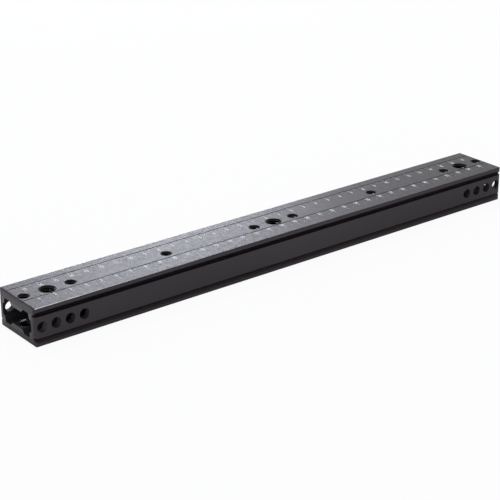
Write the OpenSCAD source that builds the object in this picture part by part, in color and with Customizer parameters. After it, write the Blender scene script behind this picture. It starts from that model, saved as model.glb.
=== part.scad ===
// Multi-purpose camera rail: a hollow aluminium extrusion with a dovetail along the top and the bottom,
// a row of threaded holes down the middle and plain cross holes near each end.
// X runs along the rail, Y across it and Z up. The origin is on the bottom face, under the middle.

/* [Rail] */
// Length of the rail, end to end
rail_len = 360; // [220:10:600]
// Width over the dovetail lips
rail_w = 38.1; // [36:0.1:46]
// Height of the plain side face between the two dovetail grooves
side_face_h = 12.7; // [10:0.1:18]
// Radius of the upright corners at the ends
corner_r = 2.5; // [0.5:0.1:4]
// Radius of the top and bottom edges of the ends
end_edge_r = 1.4; // [0.2:0.1:2]
// Radius of the long edges on top
top_edge_r = 0.7; // [0.1:0.1:1]
// Radius of the long edges at the bottom
bottom_edge_r = 1; // [0.1:0.1:1.5]

/* [Dovetail] */
// Height of the upright face of each lip
lip_h = 2.25; // [1.5:0.05:4]
// Height of each dovetail groove at its mouth
groove_h = 2.85; // [2:0.05:3.5]
// Height of the flat at the root of the groove
groove_root_h = 0.25; // [0.1:0.05:0.5]
// Slope of the lip's underside, from level
dovetail_angle = 45; // [40:1:60]

/* [Cavity] */
// Thickness of the roof and of the floor beside the screw boss
roof_t = 4.1; // [2:0.1:5]
// Height of the screw boss under the roof and over the floor
boss_h = 2.2; // [1:0.1:3]
// Width of the screw boss at its face
boss_w = 10; // [8:0.1:14]
// Width of each sloping flank of the screw boss
boss_flank_w = 2.2; // [0.5:0.1:3]
// Thickness of the side walls at half height
side_wall_t = 3.85; // [3:0.05:6]
// Extra thickness of the side wall where it meets the roof and the floor
corner_pad_w = 2.6; // [1:0.05:3.5]
// Extra thickness of the side wall at the far edge of that corner pad
corner_pad_tip_w = 1.9; // [0.2:0.05:2.2]
// Height of the corner pad
corner_pad_h = 3.2; // [2:0.1:4]
// Height of the slope that ends the corner pad
corner_pad_slope_h = 1; // [0.2:0.1:1.5]

/* [Guide lines] */
// Width of each fine line cut along the top
guide_line_w = 0.7; // [0.3:0.1:1.5]
// Depth of each fine line
guide_line_depth = 0.2; // [0.1:0.05:0.8]
// Distance from the middle to the line at the back
back_line_y = 12; // [8:0.1:14]
// Distance from the middle to the line at the front
front_line_y = 5.6; // [5.2:0.1:7]

/* [Threaded holes] */
// Distance from each end to the outer large hole
outer_hole_inset = 20; // [18:0.5:40]
// Distance from a large hole to the small holes beside it
flank_hole_pitch = 15; // [10:0.5:16]
// Outside diameter of the large thread insert
large_insert_d = 10; // [9.6:0.1:12]
// Bore of the large thread insert, the small diameter of a 3/8 inch 16 thread
large_thread_d = 7.94; // [6:0.01:8.5]
// Outside diameter of the small thread insert
small_insert_d = 6.7; // [6.5:0.1:8]
// Bore of the small thread insert, the small diameter of a 1/4 inch 20 thread
small_thread_d = 5.1; // [4:0.01:5.5]
// How far the inserts sit below the outside face
insert_recess = 0.6; // [0.2:0.1:1.5]
// How far the inserts stop short of the cavity
insert_back_gap = 0.5; // [0.1:0.1:1]
// Chamfer at both ends of an insert's bore
insert_chamfer = 0.3; // [0.1:0.05:0.5]
// Chamfer at the mouth of each threaded hole
mouth_chamfer = 0.15; // [0.05:0.05:0.5]
// Gap all round between an insert and its hole
insert_fit_gap = 0.01; // [0.005:0.005:0.05]

/* [Cross holes] */
// Diameter of the plain holes through the side walls
cross_hole_d = 6; // [4:0.1:8]
// Number of cross holes near each end
cross_hole_count = 4; // [1:1:6]
// Distance between neighbouring cross holes
cross_hole_pitch = 9; // [8.5:0.1:14]
// Distance from the end to the first cross hole
cross_hole_inset = 4.6; // [4.5:0.1:10]
// Chamfer at the mouth of each cross hole
cross_hole_chamfer = 0.25; // [0.05:0.05:0.5]

/* [Hidden] */
$fn = 64;
// How far a cut runs past the face that it opens
overrun = 1;

// Heights worked out from the bottom face upwards
rail_h = 2 * (lip_h + groove_h) + side_face_h;
groove_depth = (groove_h - groove_root_h) / tan(dovetail_angle);
boss_t = roof_t + boss_h;
insert_len = boss_t - insert_recess - insert_back_gap;

// Places of the threaded holes along the rail
outer_hole_x = rail_len / 2 - outer_hole_inset;
large_hole_xs = [-outer_hole_x, 0, outer_hole_x];
right_small_hole_xs = [flank_hole_pitch, outer_hole_x / 2, outer_hole_x - flank_hole_pitch,
    outer_hole_x + flank_hole_pitch];
last_small_hole = len(right_small_hole_xs) - 1;
small_hole_xs = concat([for (i = [last_small_hole:-1:0]) -right_small_hole_xs[i]], right_small_hole_xs);

// Places of the cross holes along the rail
right_cross_hole_xs = [for (i = [0:cross_hole_count - 1])
    rail_len / 2 - cross_hole_inset - i * cross_hole_pitch];

// Both walls carry the same row of inserts, numbered from the left
WALLS = ["top", "floor"];
function large_name(wall, i) = str("large_insert_", wall, "_", i + 1);
function small_name(wall, i) = str("small_insert_", wall, "_", i + 1);

// An upright rectangle on the baseline, with one radius for its low corners and one for its high ones
module rounded_rectangle(w, h, low_r, high_r) {
    translate([-w / 2, low_r]) square([w, h - low_r - high_r]);
    translate([low_r - w / 2, 0]) square([w - 2 * low_r, h - high_r]);
    translate([high_r - w / 2, low_r]) square([w - 2 * high_r, h - low_r]);
    for (side = [-1, 1]) {
        translate([side * (w / 2 - low_r), low_r]) circle(r = low_r);
        translate([side * (w / 2 - high_r), h - high_r]) circle(r = high_r);
    }
}

// One dovetail groove at the upper right of the section
module upper_groove_section() {
    lip_z = rail_h - lip_h;
    ledge_z = lip_z - groove_h;
    root_y = rail_w / 2 - groove_depth;
    mouth_y = rail_w / 2 + overrun;
    polygon([
        [mouth_y, lip_z + overrun * tan(dovetail_angle)],
        [root_y, ledge_z + groove_root_h],
        [root_y, ledge_z],
        [mouth_y, ledge_z]
    ]);
}

// The solid section of the rail with its four dovetail grooves
module outer_section() {
    difference() {
        rounded_rectangle(rail_w, rail_h, bottom_edge_r, top_edge_r);
        for (side = [0, 1]) {
            mirror([side, 0]) upper_groove_section();
            mirror([side, 0]) translate([0, rail_h]) mirror([0, 1]) upper_groove_section();
        }
    }
}

// The section of the cavity, between the two bosses and the four corner pads
module cavity_section() {
    wall_y = rail_w / 2 - side_wall_t;
    boss_y = boss_w / 2;
    pad_end_z = roof_t + corner_pad_h;
    corner = [
        [boss_y, boss_t],
        [boss_y + boss_flank_w, roof_t],
        [wall_y - corner_pad_w, roof_t],
        [wall_y - corner_pad_tip_w, pad_end_z],
        [wall_y, pad_end_z + corner_pad_slope_h]
    ];
    last = len(corner) - 1;
    polygon(concat(
        [for (i = [0:last]) corner[i]],
        [for (i = [last:-1:0]) [corner[i].x, rail_h - corner[i].y]],
        [for (i = [0:last]) [-corner[i].x, rail_h - corner[i].y]],
        [for (i = [last:-1:0]) [-corner[i].x, corner[i].y]]
    ));
}

// Lays a section of Y and Z along the rail
module along_rail(length) {
    rotate([90, 0, 90]) linear_extrude(height = length, center = true) children();
}

// The bar of metal, with its corners and edges rounded
module rounded_bar() {
    side_depth = rail_w + 2 * overrun;
    plan_height = rail_h + 2 * overrun;
    intersection() {
        along_rail(rail_len) outer_section();
        rotate([90, 0, 0]) linear_extrude(height = side_depth, center = true)
            rounded_rectangle(rail_len, rail_h, end_edge_r, end_edge_r);
        translate([0, 0, -overrun]) linear_extrude(height = plan_height)
            translate([0, -rail_w / 2]) rounded_rectangle(rail_len, rail_w, corner_r, corner_r);
    }
}

// The two fine lines along the top
module guide_lines() {
    over_w = guide_line_w * (guide_line_depth + overrun) / guide_line_depth;
    for (y = [back_line_y, -front_line_y]) {
        along_rail(rail_len + 2 * overrun) polygon([
            [y - over_w / 2, rail_h + overrun],
            [y, rail_h - guide_line_depth],
            [y + over_w / 2, rail_h + overrun]
        ]);
    }
}

// A round hole of a given length along Z from the baseline, chamfered at both mouths
module chamfered_hole(d, length, chamfer) {
    mouth_d = d + 2 * (chamfer + overrun);
    translate([0, 0, -overrun]) cylinder(h = length + 2 * overrun, d = d);
    translate([0, 0, -overrun]) cylinder(h = chamfer + overrun, d1 = mouth_d, d2 = d);
    translate([0, 0, length - chamfer]) cylinder(h = chamfer + overrun, d1 = d, d2 = mouth_d);
}

// The holes that take the inserts, through the roof and the floor
module insert_holes() {
    for (x = large_hole_xs)
        translate([x, 0, 0])
            chamfered_hole(large_insert_d + 2 * insert_fit_gap, rail_h, mouth_chamfer);
    for (x = small_hole_xs)
        translate([x, 0, 0])
            chamfered_hole(small_insert_d + 2 * insert_fit_gap, rail_h, mouth_chamfer);
}

// The plain holes through both side walls
module cross_holes() {
    for (side = [-1, 1])
        for (x = right_cross_hole_xs)
            translate([side * x, rail_w / 2, rail_h / 2]) rotate([90, 0, 0])
                chamfered_hole(cross_hole_d, rail_w, cross_hole_chamfer);
}

// The extrusion: one piece of black anodised aluminium
module rail_extrusion() {
    color("#303033") difference() {
        rounded_bar();
        along_rail(rail_len + 2 * overrun) cavity_section();
        guide_lines();
        insert_holes();
        cross_holes();
    }
}

// A steel thread insert, a sleeve with a chamfered bore
module thread_insert(d, bore_d) {
    color("#2e2d2e") difference() {
        cylinder(h = insert_len, d = d);
        chamfered_hole(bore_d, insert_len, insert_chamfer);
    }
}

// Seats an insert in the roof or in the floor of the rail
module seated_insert(wall, x, d, bore_d) {
    z = wall == "top" ? rail_h - insert_recess - insert_len : insert_recess;
    translate([x, 0, z]) thread_insert(d, bore_d);
}

rail_extrusion();
for (wall = WALLS) {
    for (i = [0:len(large_hole_xs) - 1])
        seated_insert(wall, large_hole_xs[i], large_insert_d, large_thread_d);
    for (i = [0:len(small_hole_xs) - 1])
        seated_insert(wall, small_hole_xs[i], small_insert_d, small_thread_d);
}
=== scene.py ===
import math

import bmesh
import bpy
import numpy as np
from mathutils import Matrix, Vector


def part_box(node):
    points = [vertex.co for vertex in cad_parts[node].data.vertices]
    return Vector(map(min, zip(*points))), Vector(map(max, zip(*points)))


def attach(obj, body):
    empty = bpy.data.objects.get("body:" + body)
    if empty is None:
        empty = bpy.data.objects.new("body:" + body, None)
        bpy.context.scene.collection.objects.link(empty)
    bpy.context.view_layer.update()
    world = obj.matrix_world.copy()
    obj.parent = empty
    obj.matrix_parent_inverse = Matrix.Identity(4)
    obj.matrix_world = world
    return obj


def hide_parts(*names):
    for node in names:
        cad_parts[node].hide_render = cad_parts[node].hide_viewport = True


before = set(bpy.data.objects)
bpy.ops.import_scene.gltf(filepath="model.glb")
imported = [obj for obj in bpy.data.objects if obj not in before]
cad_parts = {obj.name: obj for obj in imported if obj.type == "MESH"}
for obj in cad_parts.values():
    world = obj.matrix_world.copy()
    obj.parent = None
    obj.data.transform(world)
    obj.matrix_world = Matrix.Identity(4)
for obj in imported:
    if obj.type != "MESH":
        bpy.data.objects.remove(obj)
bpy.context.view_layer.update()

# The rail is one aluminium extrusion, hollow, with a dovetail along the top and the bottom.
# It is cut to length and drilled, blasted with fine beads, and anodised black all over,
# also inside the holes and the cavity, where the drawn surface keeps the lines of the die.
MM = 0.001
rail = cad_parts["rail_extrusion"]
rail_low, rail_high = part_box("rail_extrusion")
top_z = rail_high.z
half_len = rail_high.x
EDGE_R = 0.7 * MM


def add_node(tree, kind, place, **settings):
    """Adds one shader node at a place on the canvas and sets its options and unlinked sockets."""
    node = tree.nodes.new(kind)
    node.location = place
    for name, value in settings.items():
        if hasattr(node, name):
            setattr(node, name, value)
        else:
            node.inputs[name.replace("_", " ")].default_value = value
    return node


def new_group(name, numbers, results):
    """Makes a shader node group with number inputs, given with their defaults, and number outputs."""
    tree = bpy.data.node_groups.new(name, "ShaderNodeTree")
    for label, default in numbers.items():
        socket = tree.interface.new_socket(label, in_out="INPUT", socket_type="NodeSocketFloat")
        socket.default_value = default
    for label in results:
        tree.interface.new_socket(label, in_out="OUTPUT", socket_type="NodeSocketFloat")
    entry = add_node(tree, "NodeGroupInput", (-900, 0))
    leave = add_node(tree, "NodeGroupOutput", (600, 0))
    return tree, entry, leave


def blasted_grain_group():
    """Fine pits left by bead blasting: small noise over a pattern of round cells, and a slow mottle."""
    tree, entry, leave = new_group(
        "blasted grain", {"Grain": 0.4 * MM, "Mottle size": 3 * MM}, ["Height", "Mottle"]
    )
    link = tree.links.new
    place = add_node(tree, "ShaderNodeTexCoord", (-900, 300))
    per_grain = add_node(tree, "ShaderNodeMath", (-650, 100), operation="DIVIDE")
    per_grain.inputs[0].default_value = 1.0
    link(entry.outputs["Grain"], per_grain.inputs[1])
    per_mottle = add_node(tree, "ShaderNodeMath", (-650, -100), operation="DIVIDE")
    per_mottle.inputs[0].default_value = 1.0
    link(entry.outputs["Mottle size"], per_mottle.inputs[1])
    noise = add_node(tree, "ShaderNodeTexNoise", (-400, 300), Detail=3.0, Roughness=0.55)
    cells = add_node(tree, "ShaderNodeTexVoronoi", (-400, 50), feature="SMOOTH_F1")
    mottle = add_node(tree, "ShaderNodeTexNoise", (-400, -250), Detail=4.0, Roughness=0.6)
    for texture, rate in ((noise, per_grain), (cells, per_grain), (mottle, per_mottle)):
        link(place.outputs["Object"], texture.inputs["Vector"])
        link(rate.outputs[0], texture.inputs["Scale"])
    height = add_node(tree, "ShaderNodeMath", (0, 150), operation="MULTIPLY_ADD")
    height.inputs[1].default_value = 0.5
    link(cells.outputs["Distance"], height.inputs[0])
    link(noise.outputs["Fac"], height.inputs[2])
    link(height.outputs[0], leave.inputs["Height"])
    link(mottle.outputs["Fac"], leave.inputs["Mottle"])
    return tree


blasted_grain = blasted_grain_group()


def use_grain(tree, place, grain, mottle_size):
    """Places the blasted grain group in a material with its own sizes."""
    node = add_node(tree, "ShaderNodeGroup", place)
    node.node_tree = blasted_grain
    node.inputs["Grain"].default_value = grain
    node.inputs["Mottle size"].default_value = mottle_size
    return node


def new_material(name):
    """An empty node material with a Principled shader and an output, linked."""
    material = bpy.data.materials.new(name)
    material.use_nodes = True
    tree = material.node_tree
    tree.nodes.clear()
    shader = add_node(tree, "ShaderNodeBsdfPrincipled", (500, 0))
    output = add_node(tree, "ShaderNodeOutputMaterial", (800, 0))
    tree.links.new(shader.outputs["BSDF"], output.inputs["Surface"])
    return material, tree, shader


def ramp_between(tree, place, source, low, high, from_low=0.0, from_high=1.0):
    """Maps a number from one range to another, clamped."""
    node = add_node(tree, "ShaderNodeMapRange", place)
    node.inputs["From Min"].default_value = from_low
    node.inputs["From Max"].default_value = from_high
    node.inputs["To Min"].default_value = low
    node.inputs["To Max"].default_value = high
    tree.links.new(source, node.inputs["Value"])
    return node.outputs["Result"]


def between(tree, place, source, middle, half_width):
    """One where a number lies within half a width of a middle value, and zero elsewhere."""
    node = add_node(tree, "ShaderNodeMath", place, operation="COMPARE")
    node.inputs[1].default_value = middle
    node.inputs[2].default_value = half_width
    tree.links.new(source, node.inputs[0])
    return node.outputs[0]


def combine(tree, place, operation, first, second):
    """One step of arithmetic on two numbers, each of them a socket or a plain value."""
    node = add_node(tree, "ShaderNodeMath", place, operation=operation)
    for socket, number in zip(node.inputs, (first, second)):
        if isinstance(number, (int, float)):
            socket.default_value = number
        else:
            tree.links.new(number, socket)
    return node.outputs[0]


def colour_mix(tree, place, factor, first, second):
    """Blends two colours, each of them a socket or a plain colour, by a factor from 0 to 1."""
    node = add_node(tree, "ShaderNodeMix", place, data_type="RGBA")
    tree.links.new(factor, node.inputs[0])
    for socket, colour in ((node.inputs[6], first), (node.inputs[7], second)):
        if isinstance(colour, tuple):
            socket.default_value = (*colour, 1)
        else:
            tree.links.new(colour, socket)
    return node.outputs[2]


def stretched_noise(tree, rates):
    """Noise with its own number of waves per metre along X, Y and Z, so that it draws out in lines."""
    place = add_node(tree, "ShaderNodeTexCoord", (-1500, 200))
    stretch = add_node(tree, "ShaderNodeMapping", (-1100, 200))
    stretch.inputs["Scale"].default_value = rates
    tree.links.new(place.outputs["Object"], stretch.inputs["Vector"])
    noise = add_node(tree, "ShaderNodeTexNoise", (-900, 200), Scale=1.0, Detail=2.0)
    tree.links.new(stretch.outputs["Vector"], noise.inputs["Vector"])
    return noise.outputs["Fac"]


def black_anodised_material():
    """Near-black dyed oxide under a satin gloss. The outside is blasted to a fine grain. The cavity
    keeps the smooth lined skin of the die, and the long top edges are polished. The cavity and the
    drilled walls are painted a lighter tone as painted light, and the upper curve of the long top
    edges carries a painted highlight of pale metal."""
    material, tree, shader = new_material("black_anodised")
    link = tree.links.new
    grain = use_grain(tree, (-900, -200), grain=0.7 * MM, mottle_size=2.6 * MM)
    die_lines = stretched_noise(tree, (6.0, 1900.0, 1900.0))
    place = add_node(tree, "ShaderNodeTexCoord", (-1500, 700))
    split = add_node(tree, "ShaderNodeSeparateXYZ", (-1300, 700))
    link(place.outputs["Object"], split.inputs["Vector"])
    along, across, up = (split.outputs[axis] for axis in "XYZ")
    from_middle = combine(tree, (-1000, 500), "ABSOLUTE", across, 0.0)
    from_centre = combine(tree, (-1200, 1000), "ABSOLUTE", along, 0.0)
    mid_z = top_z / 2

    # The cavity, with its walls just within the mask
    cavity_half_w = 15.35 * MM
    cavity_half_h = mid_z - 4.0 * MM
    inside = combine(
        tree,
        (-800, 800),
        "MULTIPLY",
        between(tree, (-1000, 900), across, 0.0, cavity_half_w),
        between(tree, (-1000, 700), up, mid_z, cavity_half_h),
    )

    # The curves of the long top edges
    on_edge = combine(
        tree,
        (-800, 500),
        "MULTIPLY",
        between(tree, (-1000, 450), from_middle, rail_high.y, EDGE_R),
        between(tree, (-1000, 300), up, top_z, EDGE_R),
    )

    # The drilled walls of the cross holes are duller than the faces, and like the cavity they are
    #     painted a lighter tone as painted light. The mask takes in the metal
    #     of the side walls at that height, and leaves out the chamfers and the end faces.
    wall_y = 16.97 * MM
    wall_half_t = 1.72 * MM
    hole_reach = 3.6 * MM
    end_margin = 1.25 * MM
    in_wall = between(tree, (-1000, 1300), from_middle, wall_y, wall_half_t)
    near_axis = between(tree, (-1000, 1150), up, mid_z, hole_reach)
    off_the_end = combine(tree, (-1000, 1000), "LESS_THAN", from_centre, half_len - end_margin)
    drilled = combine(tree, (-800, 1200), "MULTIPLY", in_wall, near_axis)
    drilled = combine(tree, (-650, 1200), "MULTIPLY", drilled, off_the_end)

    # A painted highlight: the upper curve of the long top edges is painted as pale dull metal in
    #     patches, most of all near the left end, standing in for the highlight that the edge shows
    #     there
    upper_curve = combine(
        tree,
        (-800, 1500),
        "MULTIPLY",
        between(tree, (-1000, 1600), from_middle, rail_high.y - 0.68 * EDGE_R, 0.32 * EDGE_R),
        between(tree, (-1000, 1450), up, top_z, 0.23 * EDGE_R),
    )
    patches = add_node(tree, "ShaderNodeTexNoise", (-800, 1800), Scale=30.0, Detail=3.0)
    link(place.outputs["Object"], patches.inputs["Vector"])
    painted_edge_highlight = ramp_between(tree, (-600, 1800), patches.outputs["Fac"], 0.3, 1.0, 0.35, 0.55)
    near_left = ramp_between(tree, (-600, 2000), along, 1.0, 0.12, -130 * MM, -50 * MM)
    painted_edge_highlight = combine(tree, (-400, 1800), "MULTIPLY", painted_edge_highlight, near_left)
    painted_edge_highlight = combine(tree, (-400, 1600), "MULTIPLY", painted_edge_highlight, upper_curve)

    mottle = ramp_between(tree, (-300, 300), grain.outputs["Mottle"], 0, 1, 0.35, 0.65)
    dark_dye, light_dye = (0.0190, 0.0119, 0.0159), (0.0230, 0.0147, 0.0193)
    # A lighter tone painted on the cavity and the drilled walls: painted light, standing in for light
    # that reaches into them
    painted_fill_tone = (0.034, 0.030, 0.033)
    # Pale metal for the painted highlight on the upper curve of the long top edges
    painted_highlight_colour = (0.86, 0.85, 0.84)
    colour = colour_mix(tree, (100, 300), mottle, dark_dye, light_dye)
    painted_fill_mask = combine(tree, (100, 500), "MAXIMUM", inside, drilled)
    colour = colour_mix(tree, (300, 400), painted_fill_mask, colour, painted_fill_tone)
    colour = colour_mix(tree, (450, 500), painted_edge_highlight, colour, painted_highlight_colour)
    link(colour, shader.inputs["Base Color"])

    blasted = ramp_between(tree, (-300, 0), grain.outputs["Mottle"], 0.34, 0.46, 0.3, 0.7)
    drawn_smooth = combine(tree, (-500, 600), "MULTIPLY", inside, 0.6)
    polished = combine(tree, (-500, 450), "MULTIPLY", on_edge, 0.5)
    smoother = combine(tree, (-350, 600), "MAXIMUM", drawn_smooth, polished)
    blast_left = combine(tree, (-150, 600), "SUBTRACT", 1.0, smoother)
    satin = combine(tree, (0, 50), "MULTIPLY", blasted, blast_left)
    dull = combine(tree, (0, 200), "MULTIPLY", drilled, 0.7)
    link(combine(tree, (150, 50), "MAXIMUM", satin, dull), shader.inputs["Roughness"])

    line_bump = add_node(tree, "ShaderNodeBump", (0, -100), Strength=0.25, Distance=0.01 * MM)
    link(die_lines, line_bump.inputs["Height"])
    bump = add_node(tree, "ShaderNodeBump", (250, -200), Distance=0.065 * MM)
    link(combine(tree, (50, -250), "MULTIPLY", blast_left, 0.9), bump.inputs["Strength"])
    link(grain.outputs["Height"], bump.inputs["Height"])
    link(line_bump.outputs["Normal"], bump.inputs["Normal"])
    link(bump.outputs["Normal"], shader.inputs["Normal"])
    shader.inputs["IOR"].default_value = 1.45
    return material


rail.data.materials.clear()
rail.data.materials.append(black_anodised_material())

# Twenty-two steel thread inserts line the holes in the roof and in the floor of the rail.
# Each is a turned sleeve with a cut inch thread, blackened with hot oxide and pressed into its
# hole below the face: 3/8 inch 16 in the large holes and 1/4 inch 20 in the small ones.
INCH = 25.4 * MM
ROWS_PER_PITCH = 16


def thread_radius(phase, minor_r, major_r, pitch):
    """Radius of a 60 degree inner thread: the small radius over an eighth of the pitch each side of
    the crest, then a flank that rises by root three times the distance, up to the large radius."""
    from_crest = np.abs(np.mod(phase + 0.5, 1.0) - 0.5) * pitch
    return np.clip(minor_r + (from_crest - pitch / 8) * math.sqrt(3), minor_r, major_r)


def mesh_from_grid(name, grid):
    """A mesh from a grid of points, rows by columns, joined around both ways, and welded."""
    rows, columns, _ = grid.shape
    index = np.arange(rows * columns).reshape(rows, columns)
    here, right = index[:, :-1], index[:, 1:]
    above, above_right = np.roll(here, -1, 0), np.roll(right, -1, 0)
    faces = np.stack([here, right, above_right, above], -1).reshape(-1, 4)
    mesh = bpy.data.meshes.new(name)
    mesh.from_pydata(grid.reshape(-1, 3), [], faces.tolist())
    weld = 0.0005 * MM
    work = bmesh.new()
    work.from_mesh(mesh)
    bmesh.ops.remove_doubles(work, verts=work.verts, dist=weld)
    bmesh.ops.dissolve_degenerate(work, dist=weld, edges=work.edges)
    bmesh.ops.recalc_face_normals(work, faces=work.faces)
    work.to_mesh(mesh)
    work.free()
    sharp_angle = math.radians(25)
    mesh.shade_smooth()
    mesh.set_sharp_from_angle(angle=sharp_angle)
    return mesh


def threaded_sleeve(name, low, high, minor_r, major_r, pitch, mouth_chamfer, columns):
    """The outer cylinder of the sleeve, its two end rings and the threaded bore. Along the bore each
    row of points climbs by one pitch per turn, so the rows are helices, held between the two ends.
    The radius is that of the thread or of the chamfer cone at the mouth, whichever is wider."""
    centre = (low + high) / 2
    outer_r = (high.x - low.x) / 2
    length = high.z - low.z
    rows = math.ceil((length / pitch + 1) * ROWS_PER_PITCH) + 1
    turn = np.linspace(0, 1, columns + 1)[None, :]
    climb = np.arange(rows)[:, None] / ROWS_PER_PITCH - 1
    height = np.clip((climb + turn) * pitch, 0, length)
    bore_r = thread_radius(height / pitch - turn, minor_r, major_r, pitch)
    from_mouth = np.minimum(height, length - height)
    bore_r = np.maximum(bore_r, minor_r + mouth_chamfer - from_mouth)
    ends = np.full((1, columns + 1), outer_r)
    radius = np.concatenate([ends, bore_r, ends])
    height = np.concatenate([np.zeros_like(ends), height, np.full_like(ends, length)])
    angle = 2 * math.pi * np.broadcast_to(turn, radius.shape)
    grid = np.stack(
        [centre.x + radius * np.cos(angle), centre.y + radius * np.sin(angle), low.z + height], -1
    )
    piece = bpy.data.objects.new(name, mesh_from_grid(name, grid))
    bpy.context.scene.collection.objects.link(piece)
    return piece


def insert_steel_material():
    """Turned steel with a black oxide coat: fine rings from the cutter, level around the bore."""
    material, tree, shader = new_material("insert_steel")
    link = tree.links.new
    grain = use_grain(tree, (-900, -200), grain=0.12 * MM, mottle_size=0.8 * MM)
    rings = stretched_noise(tree, (300.0, 300.0, 14000.0))
    mottle = ramp_between(tree, (-300, 300), grain.outputs["Mottle"], 0, 1, 0.3, 0.7)
    dark_oxide, light_oxide = (0.070, 0.0685, 0.0665), (0.105, 0.103, 0.100)
    colour = colour_mix(tree, (100, 300), mottle, dark_oxide, light_oxide)
    link(colour, shader.inputs["Base Color"])
    roughness = ramp_between(tree, (-300, 0), rings, 0.14, 0.24, 0.3, 0.7)
    link(roughness, shader.inputs["Roughness"])
    bump = add_node(tree, "ShaderNodeBump", (250, -200), Strength=0.3, Distance=0.008 * MM)
    link(rings, bump.inputs["Height"])
    link(bump.outputs["Normal"], shader.inputs["Normal"])
    shader.inputs["Metallic"].default_value = 1.0
    return material


insert_steel = insert_steel_material()
# The mouth chamfer leaves a ring 0.05 mm wide at each end of a sleeve
inserts = {
    "large": dict(
        minor_r=3.97 * MM, major_r=3 / 16 * INCH, pitch=INCH / 16, mouth_chamfer=0.98 * MM, columns=72
    ),
    "small": dict(
        minor_r=2.55 * MM, major_r=1 / 8 * INCH, pitch=INCH / 20, mouth_chamfer=0.75 * MM, columns=56
    ),
}
for node_name in sorted(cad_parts):
    size = node_name.split("_")[0]
    if size not in inserts:
        continue
    low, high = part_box(node_name)
    sleeve = threaded_sleeve(node_name + "_threaded", low, high, **inserts[size])
    sleeve.data.materials.append(insert_steel)
    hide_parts(node_name)
    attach(sleeve, "root")

# Two centimetre scales are laser-marked through the black oxide, so they show as pale frosted metal.
# The front one counts from the left end, and the back one counts both ways from the middle.
# Each has a tick at every centimetre with its number and a shorter tick half-way between.
MARK_PROUD = 0.012 * MM
MARK_SUNK = 0.01 * MM
TICK_W = 0.12 * MM
HALF_TICK_W = 0.08 * MM
DIGIT_H = 3.0 * MM
# The height of a figure as a share of its type size
DIGIT_SHARE = 0.72
NARROWING = 0.62
STROKE_GROWTH = 0.07 * MM
CENTIMETRE = 10 * MM
last_mark = round(2 * half_len / CENTIMETRE) - 1
# For each scale: where its numbers, its long ticks and its short ticks begin and end across the rail
scales = {
    "front": dict(number_y=-9.4 * MM, tick_y=(-12.4 * MM, -10.0 * MM), half_y=(-12.0 * MM, -10.6 * MM)),
    "back": dict(number_y=5.9 * MM, tick_y=(9.6 * MM, 12.0 * MM), half_y=(9.9 * MM, 11.4 * MM)),
}


def tick_bars(xs, low_y, high_y, width):
    """Flat bars across the rail: for each x the eight corners of a box, as one array."""
    corner_x = np.array([-1, 1, 1, -1, -1, 1, 1, -1]) * width / 2
    corner_y = np.array([low_y, low_y, high_y, high_y] * 2)
    corner_z = np.repeat([top_z - MARK_SUNK, top_z + MARK_PROUD], 4)
    points = np.stack(
        [
            np.add.outer(xs, corner_x),
            np.broadcast_to(corner_y, (len(xs), 8)),
            np.broadcast_to(corner_z, (len(xs), 8)),
        ],
        -1,
    ).reshape(-1, 3)
    box_faces = np.array(
        [[3, 2, 1, 0], [4, 5, 6, 7], [0, 1, 5, 4], [1, 2, 6, 5], [2, 3, 7, 6], [3, 0, 4, 7]]
    )
    faces = (np.arange(len(xs))[:, None, None] * 8 + box_faces).reshape(-1, 4)
    return points, faces.tolist()


def number_plate(number, x, low_y):
    """One number as a thin plate of type, drawn narrow, centred on x with its foot at low_y."""
    curve = bpy.data.curves.new("number", "FONT")
    curve.body = str(number)
    curve.align_x = "CENTER"
    curve.size = DIGIT_H / DIGIT_SHARE
    curve.space_character = 1.05
    curve.offset = STROKE_GROWTH
    curve.extrude = (MARK_PROUD + MARK_SUNK) / 2
    curve.resolution_u = 4
    holder = bpy.data.objects.new("number", curve)
    mesh = bpy.data.meshes.new_from_object(holder)
    points = np.zeros(len(mesh.vertices) * 3)
    mesh.vertices.foreach_get("co", points)
    points = points.reshape(-1, 3) * (NARROWING, 1.0, 1.0)
    points += (x, low_y, top_z + (MARK_PROUD - MARK_SUNK) / 2)
    faces = [list(face.vertices) for face in mesh.polygons]
    bpy.data.objects.remove(holder)
    bpy.data.curves.remove(curve)
    bpy.data.meshes.remove(mesh)
    return points, faces


def joined_piece(name, parts):
    """One object from several lists of points and faces."""
    points, faces, count = [], [], 0
    for part_points, part_faces in parts:
        points.append(part_points)
        faces.extend([[i + count for i in face] for face in part_faces])
        count += len(part_points)
    mesh = bpy.data.meshes.new(name)
    mesh.from_pydata(np.concatenate(points), [], faces)
    mesh.validate()
    piece = bpy.data.objects.new(name, mesh)
    bpy.context.scene.collection.objects.link(piece)
    return piece


def laser_mark_material():
    """Pale grey frosted metal, mottled where the beam has left a little of the black oxide."""
    material, tree, shader = new_material("laser_mark")
    link = tree.links.new
    grain = use_grain(tree, (-900, 0), grain=0.15 * MM, mottle_size=0.5 * MM)
    mottle = ramp_between(tree, (-300, 300), grain.outputs["Mottle"], 0, 1, 0.25, 0.6)
    stained_frost, clean_frost = (0.78, 0.76, 0.72), (0.97, 0.94, 0.90)
    colour = colour_mix(tree, (100, 300), mottle, stained_frost, clean_frost)
    link(colour, shader.inputs["Base Color"])
    bump = add_node(tree, "ShaderNodeBump", (250, -200), Strength=0.3, Distance=0.01 * MM)
    link(grain.outputs["Height"], bump.inputs["Height"])
    link(bump.outputs["Normal"], shader.inputs["Normal"])
    shader.inputs["Roughness"].default_value = 0.6
    return material


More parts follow.
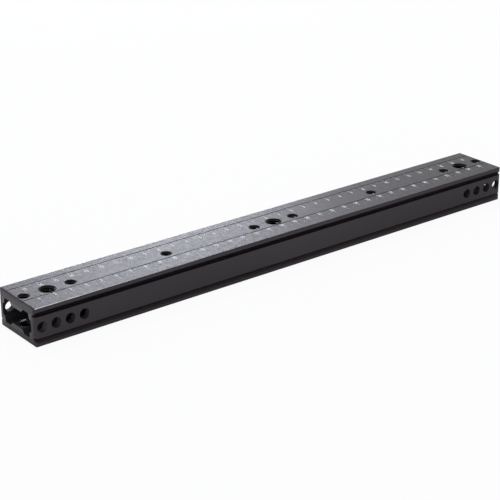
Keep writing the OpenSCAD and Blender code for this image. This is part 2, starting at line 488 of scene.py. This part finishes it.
laser_mark = laser_mark_material()
marks = np.arange(1, last_mark + 1)
mark_xs = -half_len + marks * CENTIMETRE
half_xs = -half_len + (np.arange(last_mark + 1) + 0.5) * CENTIMETRE
numbers = {"front": marks, "back": abs(marks - (last_mark + 1) // 2)}
for side, place in scales.items():
    ticks = joined_piece(
        side + "_scale_ticks",
        [
            tick_bars(mark_xs, *place["tick_y"], TICK_W),
            tick_bars(half_xs, *place["half_y"], HALF_TICK_W),
        ],
    )
    figures = joined_piece(
        side + "_scale_numbers",
        [number_plate(n, x, place["number_y"]) for n, x in zip(numbers[side], mark_xs)],
    )
    for piece in (ticks, figures):
        piece.data.materials.append(laser_mark)
        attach(piece, "root")

# The studio: a plain pale floor in front of a white backdrop, under a dim ceiling.
# It is not part of the object. Softboxes behind the rail show in its glossy top, and one
# high over the back lights the marks and the threads.
scene = bpy.context.scene


def floor_material():
    """Pale paint that the camera sees as nearly white, with the shadow of the object still on it.
    Shiny surfaces see it white too, less so in the corner under the rail and along its right half,
    where the light from the back left falls off."""
    material, tree, shader = new_material("pale_floor")
    shader.inputs["Base Color"].default_value = (0.86, 0.86, 0.86, 1)
    shader.inputs["Roughness"].default_value = 0.9
    shader.inputs["Specular IOR Level"].default_value = 0.0
    link = tree.links.new
    rays = add_node(tree, "ShaderNodeLightPath", (-300, 300))
    camera_ray = rays.outputs["Is Camera Ray"]
    open_to_light = add_node(tree, "ShaderNodeAmbientOcclusion", (-300, -300), Distance=0.2)
    place = add_node(tree, "ShaderNodeTexCoord", (-700, -500))
    split = add_node(tree, "ShaderNodeSeparateXYZ", (-500, -500))
    link(place.outputs["Object"], split.inputs["Vector"])
    fall_off = ramp_between(tree, (-300, -500), split.outputs["X"], 1.0, 0.7, 20 * MM, 180 * MM)
    corner = combine(tree, (-100, -300), "POWER", open_to_light.outputs["AO"], 1.2)
    lit = combine(tree, (50, -300), "MULTIPLY", corner, fall_off)
    white = add_node(tree, "ShaderNodeEmission", (500, -300))
    link(combine(tree, (200, -300), "MAXIMUM", camera_ray, lit), white.inputs["Strength"])
    seen = combine(tree, (100, 300), "MULTIPLY", camera_ray, 0.94)
    for kind in ("Is Glossy Ray", "Is Transmission Ray"):
        seen = combine(tree, (300, 300), "MAXIMUM", seen, rays.outputs[kind])
    mix = add_node(tree, "ShaderNodeMixShader", (700, 200))
    link(seen, mix.inputs["Fac"])
    link(shader.outputs["BSDF"], mix.inputs[1])
    link(white.outputs["Emission"], mix.inputs[2])
    output = next(n for n in tree.nodes if n.type == "OUTPUT_MATERIAL")
    link(mix.outputs["Shader"], output.inputs["Surface"])
    return material


FLOOR_HALF = 3.0
FLOOR_GAP = 0.05 * MM
floor_z = rail_low.z - FLOOR_GAP
corner_signs = np.array([[-1, -1], [1, -1], [1, 1], [-1, 1]])
floor_points = np.column_stack([corner_signs * FLOOR_HALF, np.full(4, floor_z)])
floor_mesh = bpy.data.meshes.new("floor")
floor_mesh.from_pydata(floor_points, [], [[0, 1, 2, 3]])
floor = bpy.data.objects.new("floor", floor_mesh)
scene.collection.objects.link(floor)
floor.data.materials.append(floor_material())

# All the lamps and the sky give a slightly blue white
DAYLIGHT = (0.96, 1.0, 1.12)


def fill_sky(tree):
    """Even daylight. The camera and shiny surfaces see a white backdrop in its place, the camera all
    over, and reflections up to its top edge, with a dim ceiling over it."""
    link = tree.links.new
    rays = add_node(tree, "ShaderNodeLightPath", (-400, 300))
    camera_ray = rays.outputs["Is Camera Ray"]
    daylight = add_node(tree, "ShaderNodeBackground", (0, 0), Strength=0.6)
    daylight.inputs["Color"].default_value = (*DAYLIGHT, 1)
    white = add_node(tree, "ShaderNodeBackground", (0, -200))
    white.inputs["Color"].default_value = (1, 1, 1, 1)
    place = add_node(tree, "ShaderNodeTexCoord", (-900, -300))
    split = add_node(tree, "ShaderNodeSeparateXYZ", (-700, -300))
    link(place.outputs["Generated"], split.inputs["Vector"])
    backdrop = ramp_between(tree, (-500, -300), split.outputs["Z"], 1.0, 0.15, 0.32, 0.62)
    link(combine(tree, (-200, -300), "MAXIMUM", backdrop, camera_ray), white.inputs["Strength"])
    seen = camera_ray
    for kind in ("Is Glossy Ray", "Is Transmission Ray"):
        seen = combine(tree, (0, 300), "MAXIMUM", seen, rays.outputs[kind])
    mix = add_node(tree, "ShaderNodeMixShader", (300, 0))
    link(seen, mix.inputs["Fac"])
    link(daylight.outputs["Background"], mix.inputs[1])
    link(white.outputs["Background"], mix.inputs[2])
    output = add_node(tree, "ShaderNodeOutputWorld", (600, 0))
    link(mix.outputs["Shader"], output.inputs["Surface"])


world = bpy.data.worlds.new("studio")
scene.world = world
world.use_nodes = True
world.node_tree.nodes.clear()
fill_sky(world.node_tree)

LAMP_DISTANCE = 1.6


def softbox(name, azimuth, elevation, width, height, power):
    """A rectangular lamp that faces the rail. Azimuth runs from +Y towards +X, in degrees."""
    turn, rise = math.radians(azimuth), math.radians(elevation)
    towards = Vector(
        (math.sin(turn) * math.cos(rise), math.cos(turn) * math.cos(rise), math.sin(rise))
    )
    lamp = bpy.data.lights.new(name, "AREA")
    lamp.shape = "RECTANGLE"
    lamp.size = width
    lamp.size_y = height
    lamp.energy = power
    lamp.color = DAYLIGHT
    holder = bpy.data.objects.new(name, lamp)
    scene.collection.objects.link(holder)
    holder.location = towards * LAMP_DISTANCE
    holder.rotation_euler = towards.to_track_quat("Z", "Y").to_euler()


softbox("back_softbox", azimuth=30.6, elevation=15, width=0.43, height=0.48, power=5.2)
softbox("high_back_softbox", azimuth=45, elevation=33, width=0.4, height=0.48, power=0.7)
softbox("left_back_softbox", azimuth=-32, elevation=13, width=0.4, height=0.48, power=1.5)
softbox("top_softbox", azimuth=0, elevation=62, width=0.4, height=0.4, power=6.0)

# The camera looks down on the rail from the front left, where the photograph was taken.
CAMERA_PLACE = Vector((-548.845, -675.730, 370.798)) * MM
CAMERA_AZIMUTH = 38.1403
CAMERA_ELEVATION = -22.846
CAMERA_ROLL = -0.187
LENS_MM = 110.851
SENSOR_MM = 36

camera_data = bpy.data.cameras.new("camera")
camera_data.lens = LENS_MM
camera_data.sensor_width = SENSOR_MM
camera_data.sensor_fit = "HORIZONTAL"
camera_data.clip_start = 10 * MM
camera_data.clip_end = 20
camera = bpy.data.objects.new("camera", camera_data)
scene.collection.objects.link(camera)
camera.matrix_world = (
    Matrix.Translation(CAMERA_PLACE)
    @ Matrix.Rotation(-math.radians(CAMERA_AZIMUTH), 4, "Z")
    @ Matrix.Rotation(math.radians(90 + CAMERA_ELEVATION), 4, "X")
    @ Matrix.Rotation(math.radians(CAMERA_ROLL), 4, "Z")
)
scene.camera = camera
scene.view_settings.view_transform = "Standard"
